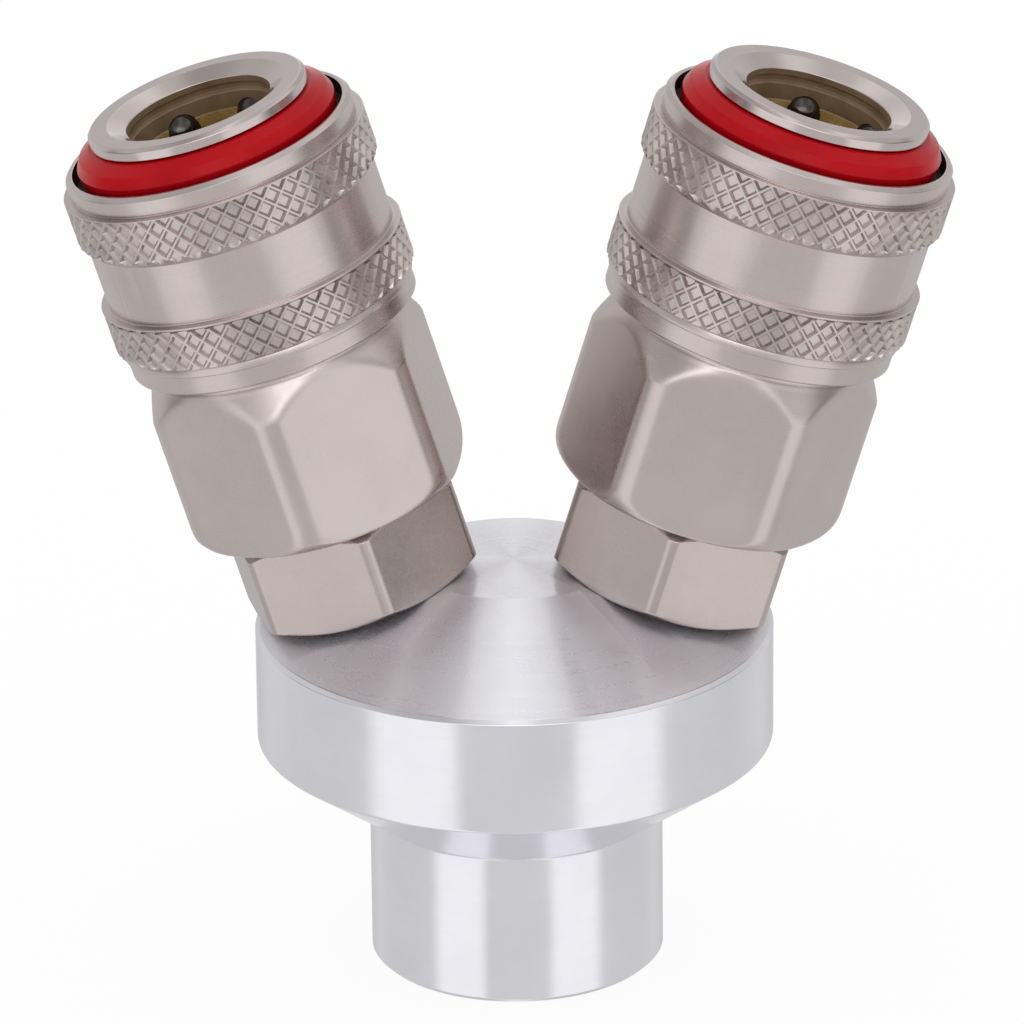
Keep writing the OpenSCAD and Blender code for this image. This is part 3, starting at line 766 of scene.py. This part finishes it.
def join_rings(bm, low, high):
    """Joins two rings, each in the order of its angles, whatever their counts."""
    low_angles = ring_angles(low)
    high_angles = ring_angles(high)
    n = len(low)
    m = len(high)
    i = 0
    j = 0
    while i < n or j < m:
        if n == m and i == j:
            corners = (low[i], low[(i + 1) % n], high[(j + 1) % m], high[j])
            i += 1
            j += 1
        elif j == m or (i < n and low_angles[i + 1] <= high_angles[j + 1]):
            corners = (low[i], low[(i + 1) % n], high[j % m])
            i += 1
        else:
            corners = (low[i % n], high[(j + 1) % m], high[j])
            j += 1
        bm.faces.new(corners).smooth = True


def join_all(bm, rings):
    for low, high in zip(rings, rings[1:]):
        join_rings(bm, low, high)


def knurl_ridge(p, q):
    """Height, 0 to 1, of the crossed ridges at a point of the lattice."""
    edge = min(p % 1, -p % 1, q % 1, -q % 1)
    return min(1, max(0, (RIDGE_FOOT - edge) / (RIDGE_FOOT - RIDGE_TOP)))


def lattice_square(square, i, j):
    """A lattice square as one face, or as two along the fold where two slopes meet at a corner."""
    if i in (1, 3) and j in (1, 3):
        k = 0 if i == j else 1
        return [square[k:k + 3], [square[k + 2], square[(k + 3) % 4], square[k]]]
    return [square]


def knurl_faces(bm, node_s, low_s, high_s, phase):
    """Crossed ridges with square pits between them, a little past both heights of a band."""
    marks = (0, RIDGE_TOP, RIDGE_FOOT, 1 - RIDGE_FOOT, 1 - RIDGE_TOP, 1)
    grid = {}

    def vertex(p, q):
        u = (p + q) / 2
        v = (p - q) / 2
        key = (round(u * 1000) % (KNURL_CELLS * 1000), round(v * 1000))
        if key not in grid:
            angle = math.radians(phase) + FULL_TURN * u / KNURL_CELLS
            r = KNURL_R - KNURL_DEPTH * (1 - knurl_ridge(round(p, 6), round(q, 6)))
            grid[key] = bm.verts.new((r * math.cos(angle), r * math.sin(angle), node_s - v * KNURL_HIGH))
        return grid[key]

    first = math.floor(2 * (node_s - high_s) / KNURL_HIGH) - 1
    last = math.ceil(2 * (node_s - low_s) / KNURL_HIGH) + 1
    made = []
    for level in range(first, last + 1):
        for cell in range(KNURL_CELLS):
            q0 = cell - level // 2
            p0 = q0 + level
            for i in range(5):
                for j in range(5):
                    corners = ((i, j), (i + 1, j), (i + 1, j + 1), (i, j + 1))
                    square = [vertex(p0 + marks[a], q0 + marks[b]) for a, b in corners]
                    made += [bm.faces.new(part[::-1]) for part in lattice_square(square, i, j)]
    for face in made:
        face.smooth = False
    return made


def slice_faces(bm, faces, height, keep):
    """Cuts faces at a height. Keep is -1 for what lies below, 1 for what lies above and 0 for both."""
    edges = list({e for f in faces for e in f.edges})
    verts = list({v for f in faces for v in f.verts})
    result = bmesh.ops.bisect_plane(
        bm, geom=faces + edges + verts, dist=1e-5, plane_co=(0, 0, height), plane_no=(0, 0, 1),
        clear_outer=keep < 0, clear_inner=keep > 0)
    return [g for g in result["geom"] if isinstance(g, bmesh.types.BMFace) and g.is_valid]


def knurl_band(bm, node_s, ends, fade_s, phase):
    """One band of the knurl, whose ridges run out below. Returns its lower and upper ring of vertices."""
    low_s, high_s = ends
    faces = knurl_faces(bm, node_s, low_s, high_s, phase)
    for height, keep in ((high_s, -1), (low_s, 1), (fade_s, 0), ((fade_s + low_s) / 2, 0)):
        faces = slice_faces(bm, faces, height, keep)
    verts = {v for f in faces for v in f.verts}
    for v in verts:
        r = math.hypot(v.co.x, v.co.y)
        limit = SLEEVE_R + (KNURL_R - SLEEVE_R) * (v.co.z - low_s) / (fade_s - low_s)
        if v.co.z < fade_s and r > limit:
            v.co.x *= limit / r
            v.co.y *= limit / r
    rings = [[v for v in verts if abs(v.co.z - s) < 1e-4] for s in (low_s, high_s)]
    return [sorted(ring, key=vert_angle) for ring in rings]


def collar_profile():
    """Plain collar at the sleeve's rear, up to the rear band."""
    return rounded([
        (REAR_BEVEL_R, SLEEVE_REAR, 0.08), (SLEEVE_R - 0.2, SLEEVE_REAR, 0.08),
        (SLEEVE_R, SLEEVE_REAR + 0.2, 0.1), (SLEEVE_R, SHOULDER_S - 0.02, 0.04),
        (SLEEVE_R + 0.18, SHOULDER_S + 0.1, 0.06), (SLEEVE_R + 0.2, SHOULDER_S + 0.4, 0),
    ], closed=False)[1:-1]


def waist_profile():
    """Groove and thin lip above the rear band, then the plain waist. The ends only aim the roundings."""
    low = REAR_EDGE[1]
    groove_r = KNURL_R - 0.45
    lip_r = KNURL_R + 0.04
    return rounded([
        (13.2, low - 0.2, 0), (groove_r, low + 0.03, 0.03), (groove_r, low + 0.17, 0.04),
        (lip_r, low + 0.22, 0.04), (lip_r, low + 0.4, 0.05), (SLEEVE_R, low + 0.46, 0.05), (SLEEVE_R, 34, 0),
    ], closed=False)[1:-1]


def front_profile():
    """Step above the front band, the plain front with its lip, and the whole inside back to the rear."""
    step_r = SLEEVE_R - 0.06
    return rounded([
        (KNURL_R, FRONT_EDGE[1] - 0.1, 0), (KNURL_R, FRONT_STEP_S, 0.04), (step_r, FRONT_STEP_S + 0.05, 0.03),
        (step_r, FRONT_STEP_S + 0.13, 0.03), (SLEEVE_R, FRONT_STEP_S + 0.18, 0.04),
        (SLEEVE_R, SLEEVE_LIP - LIP_EDGE, 0.06), (SLEEVE_R - LIP_EDGE, SLEEVE_LIP, 0.06),
        (LIP_IN_R, SLEEVE_LIP, 0.08), (LIP_IN_R, LIP_FLOOR, 0.1), (INNER_COLLAR_R, LIP_FLOOR, 0.1),
        (INNER_COLLAR_R, INNER_COLLAR_S - 0.15, 0.05), (INNER_COLLAR_R - 0.15, INNER_COLLAR_S, 0.05),
        (RELIEF_R, INNER_COLLAR_S, 0.05), (RELIEF_R, RAMP_END, 0.1), (LAND_R, LAND_END, 0.1),
        (LAND_R, LAND_S, 0.06), (POCKET_R, LAND_S, 0.1), (POCKET_R, REAR_BEVEL_S, 0.06),
        (REAR_BEVEL_R, SLEEVE_REAR, 0),
    ], closed=False)[1:-1]


def sleeve_material(r, s):
    """Knurled metal in both bands, and near-black metal as painted shade on the walls of the recess behind
    the lip.
    """
    in_band = any(low < s < high for low, high in (REAR_EDGE, FRONT_EDGE))
    if r > SLEEVE_R + 0.05 and in_band:
        return 1
    # The recess walls between the inner collar and the lip get the painted shade.
    in_recess = INNER_COLLAR_R + 0.05 < r < LIP_IN_R + 0.05 and RECESS_FROM_S < s < SLEEVE_LIP - 0.05
    return 2 if in_recess else 0


def make_sleeve(side):
    name = side + "_sleeve_knurled"
    rear_phase, front_phase = KNURL_PHASE[side]
    bm = bmesh.new()
    rear_low, rear_high = knurl_band(bm, REAR_NODES, REAR_EDGE, REAR_FADE, rear_phase)
    front_low, front_high = knurl_band(bm, FRONT_NODES, FRONT_EDGE, FRONT_FADE, front_phase)
    collar = [ring_verts(bm, r, s) for r, s in collar_profile()]
    waist = [ring_verts(bm, r, s) for r, s in waist_profile()]
    front = [ring_verts(bm, r, s) for r, s in front_profile()]
    join_all(bm, collar + [rear_low])
    join_all(bm, [rear_high] + waist + [front_low])
    join_all(bm, [front_high] + front + [collar[0]])
    bmesh.ops.scale(bm, vec=(MM, MM, MM), verts=bm.verts)
    mesh = bpy.data.meshes.new(name)
    bm.to_mesh(mesh)
    bm.free()
    obj = link_object(name, mesh, outlet(side))
    mesh.set_sharp_from_angle(angle=FORM_CREASE)
    materials = [nickel_turned, nickel_knurl, recess_painted_shade]
    finish_piece(obj, side + "_sleeve_slide", [side + "_sleeve"], materials, sleeve_material)


# Nose tube and ring
def nose_profile():
    """Outside of the tube and its flange, then the mouth, the bore's steps and the valve's chamber."""
    mouth_wide_r = MOUTH_R + 0.2
    return rounded([
        (TUBE_R, TUBE_REAR, 0.1), (TUBE_R, FLANGE_S, 0.05), (FLANGE_R - 0.15, FLANGE_S, 0.05),
        (FLANGE_R, FLANGE_S + 0.15, 0.08), (FLANGE_R, NOSE_S - 0.3, 0.12), (FLANGE_R - 0.3, NOSE_S, 0.12),
        (MOUTH_R + 1.5, NOSE_S, 0.08), (MOUTH_R, NOSE_S - 0.8, 0.08), (MOUTH_R, NOSE_S - 1.35, 0.04),
        (mouth_wide_r, NOSE_S - 1.5, 0.04), (mouth_wide_r, NOSE_S - 1.95, 0.03), (BORE_R, NOSE_S - 2.1, 0.04),
        (BORE_R, GOLD_TOP + 0.05, 0), (GOLD_R, GOLD_TOP - 0.03, 0), (GOLD_R, GUIDE_TOP + 0.1, 0.03),
        (GUIDE_R, GUIDE_TOP, 0.03), (GUIDE_R, GUIDE_END, 0.05), (TIP_R, GUIDE_END - 0.5, 0.05),
        (TIP_R, GROOVE_TOP, 0.05), (GROOVE_R, GROOVE_TOP, 0.08), (GROOVE_R, GROOVE_END, 0.08),
        (TIP_R, GROOVE_END, 0.05), (TIP_R, PLUG_STOP, 0.08), (STOP_R, PLUG_STOP, 0.05),
        (STOP_R, VALVE_SEAT_TOP, 0.1), (CHAMBER_WALL_R, VALVE_SEAT_END, 0.1),
        (CHAMBER_WALL_R, TUBE_REAR, 0.08),
    ], steps=2)


def nose_material(r, s):
    """Polished outside, mouth and back, and in the bore bronze above the gold step and brass below it."""
    if r > NOSE_OUTSIDE_R or s > NOSE_S - 0.85 or s < NOSE_BACK_S:
        return 0
    return 1 if s > GOLD_TOP else 2


def make_nose(side):
    def ball_holes(bm):
        for i in range(BALL_COUNT):
            turn = math.radians(BALL_TURN[side] + 360 / BALL_COUNT * i)
            place = outlet(side) @ Matrix.Rotation(turn, 4, "Z") @ Matrix.Translation((0, 0, BALL_S * MM))
            place = place @ Matrix.Rotation(math.pi / 2, 4, "Y")
            rod_mesh(bm, place, BALL_SEAT_R, BALL_HOLE_R, *BALL_SEAT_SPAN, 48)
            rod_mesh(bm, place, BALL_HOLE_R, BALL_HOLE_R, *BALL_HOLE_SPAN, 48)

    obj = skin(side + "_nose_turned", even_angles(TUBE_COLUMNS), nose_profile(), outlet(side))
    cut(obj, ball_holes)
    materials = [nickel_polished, bore_bronze, bore_brass]
    finish_piece(obj, "root", [side + "_nose_tube"], materials, nose_material)


def make_ring(side):
    in_r = TUBE_R + 0.05
    top = FLANGE_S - 0.05
    profile = rounded([
        (in_r, RING_S, 0.05), (in_r, top, 0.05), (FLANGE_R - 0.1, top, 0.1),
        (FLANGE_R + 0.3, top - 0.05, 0.25), (RING_R - 0.45, RING_S + 0.5, 0.3), (RING_R, RING_S - 0.35, 0.3),
        (RING_R - 0.2, RING_LOW, 0.05), (RING_R - SKIRT_T, RING_LOW, 0.05), (RING_R - SKIRT_T, RING_S, 0.05),
    ], steps=6)
    obj = skin(side + "_ring_red", even_angles(TUBE_COLUMNS), profile, outlet(side))
    finish_piece(obj, "root", [side + "_stop_ring"], [ring_red])


def dress_kept_nodes(side):
    """The CAD nodes that stay get their own procedural materials."""
    kept = {
        "adapter_washer": seal_rubber, "tube_seal": seal_rubber, "plug_seal": seal_rubber,
        "valve_seal": seal_rubber, "sleeve_spring": spring_steel, "valve_spring": spring_steel,
        "valve_poppet": valve_brass,
    }
    # The lock balls get the near-black steel with painted shade.
    for i in range(BALL_COUNT):
        kept["lock_ball_%d" % (i + 1)] = ball_steel
    for kind, mat in kept.items():
        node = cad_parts[side + "_" + kind]
        node.data.materials.clear()
        node.data.materials.append(mat)


# Floor and light
def make_floor():
    """White floor that glows to the camera, keeps a faint shadow and isn't reflected by the metal."""
    far = FLOOR_REACH
    corners = [(-far, -far, 0), (far, -far, 0), (far, far, 0), (-far, far, 0)]
    floor = new_object("floor", corners, [(0, 1, 2, 3)])
    floor.visible_glossy = False
    mat, nodes, inputs = material("floor_white")
    inputs["Base Color"].default_value = (FLOOR_WHITE, FLOOR_WHITE, FLOOR_WHITE, 1)
    inputs["Roughness"].default_value = 0.9
    glow = nodes.add("ShaderNodeEmission")
    rays = nodes.add("ShaderNodeLightPath")
    seen = nodes.math("MAXIMUM", rays.outputs["Is Camera Ray"], rays.outputs["Is Glossy Ray"])
    blend = nodes.add("ShaderNodeMixShader")
    nodes.put(blend.inputs[0], nodes.math("MULTIPLY", seen, FLOOR_GLOW))
    nodes.put(blend.inputs[1], mat.node_tree.nodes["Principled BSDF"].outputs[0])
    nodes.put(blend.inputs[2], glow.outputs[0])
    nodes.put(mat.node_tree.nodes["Material Output"].inputs[0], blend.outputs[0])
    floor.data.materials.append(mat)


def make_world():
    """Plain white light, and a soft grey and white studio for what the metal reflects."""
    world = bpy.data.worlds.new("studio")
    bpy.context.scene.world = world
    world.use_nodes = True
    world.node_tree.nodes.clear()
    nodes = Nodes(world.node_tree)
    direction = nodes.add("ShaderNodeSeparateXYZ")
    nodes.put(direction.inputs[0], nodes.add("ShaderNodeTexCoord").outputs["Generated"])
    dx, dy, dz = direction.outputs
    turn = nodes.math("ABSOLUTE", nodes.math("ARCTAN2", dx, nodes.math("MULTIPLY", dy, -1.0)))
    azimuth = nodes.math("DIVIDE", turn, math.pi)
    level_height = nodes.spread(dz, -1, 1, 0, 1)

    around = nodes.ramp(azimuth, AROUND, "LINEAR")
    side_light = nodes.mix(nodes.ramp(dz, TO_ABOVE), around, nodes.ramp(azimuth, ABOVE_CAMERA))
    overhead = nodes.ramp(nodes.spread(dx, -1, 1, 0, 1), OVERHEAD)
    studio = nodes.mix(nodes.ramp(dz, TO_OVERHEAD), side_light, overhead)
    key = nodes.math("MULTIPLY", nodes.ramp(azimuth, KEY_AZIMUTH), nodes.ramp(dz, KEY_HEIGHT))
    sides = nodes.math("MULTIPLY", nodes.ramp(azimuth, SIDE_AZIMUTH), nodes.ramp(level_height, SIDE_HEIGHT))
    strength = nodes.math("MULTIPLY_ADD", sides, SIDE_LOSS, nodes.math("MULTIPLY_ADD", key, KEY_GAIN, 1.0))

    plain = nodes.add("ShaderNodeBackground")
    plain.inputs[0].default_value = (1, 1, 1, 1)
    plain.inputs[1].default_value = 1.0
    glossy = nodes.add("ShaderNodeBackground")
    nodes.put(glossy.inputs[0], studio)
    nodes.put(glossy.inputs[1], strength)
    choose = nodes.add("ShaderNodeMixShader")
    nodes.put(choose.inputs[0], nodes.add("ShaderNodeLightPath").outputs["Is Glossy Ray"])
    nodes.put(choose.inputs[1], plain.outputs[0])
    nodes.put(choose.inputs[2], glossy.outputs[0])
    nodes.put(nodes.add("ShaderNodeOutputWorld").inputs[0], choose.outputs[0])


def make_camera():
    flat = math.cos(CAMERA_ELEVATION)
    back = Vector((
        math.sin(CAMERA_SWING) * flat, -math.cos(CAMERA_SWING) * flat, math.sin(CAMERA_ELEVATION)))
    level_right = Vector((math.cos(CAMERA_SWING), math.sin(CAMERA_SWING), 0))
    level_up = back.cross(level_right)
    right = level_right * math.cos(CAMERA_ROLL) + level_up * math.sin(CAMERA_ROLL)
    up = level_up * math.cos(CAMERA_ROLL) - level_right * math.sin(CAMERA_ROLL)
    place = Vector((0, 0, CAMERA_AIM_Z)) + back * CAMERA_REACH
    camera = link_object("camera", bpy.data.cameras.new("camera"))
    rows = [(right[i], up[i], back[i], place[i] * MM) for i in range(3)]
    camera.matrix_world = Matrix(rows + [(0, 0, 0, 1)])
    camera.data.lens = LENS
    camera.data.sensor_width = SENSOR
    camera.data.shift_x = SHIFT_X
    camera.data.shift_y = SHIFT_Y
    camera.data.clip_start = 0.05
    camera.data.clip_end = 20
    bpy.context.scene.camera = camera


make_manifold()
for side in SIDES:
    make_adapter(side)
    make_hex_body(side)
    make_nose(side)
    make_ring(side)
    make_sleeve(side)
for side in SIDES:
    dress_kept_nodes(side)
make_floor()
make_world()
make_camera()
bpy.context.scene.view_settings.view_transform = "Standard"
